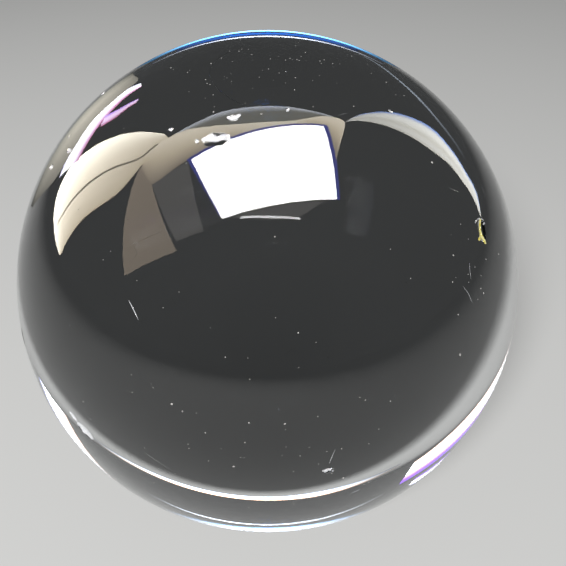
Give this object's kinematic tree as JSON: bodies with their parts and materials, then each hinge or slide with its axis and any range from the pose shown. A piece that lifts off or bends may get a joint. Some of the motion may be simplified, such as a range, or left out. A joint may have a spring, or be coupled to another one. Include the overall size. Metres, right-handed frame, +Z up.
{
  "type": "crystal ball",
  "caption": "Solid polished sphere of clear glass, used bare in the hand or on a cloth, with small chips and pits in its surface.",
  "frame": {"origin": "centre of the ball", "axes": "+Z up, -Y towards the viewer, +X to the viewer's right"},
  "size_m": [0.076, 0.076, 0.076],
  "materials": {
    "glass": "polished solid clear glass, with fine handling scratches and small bright chips"
  },
  "bodies": {
    "root": {"ball": "glass"}
  },
  "joints": []
}
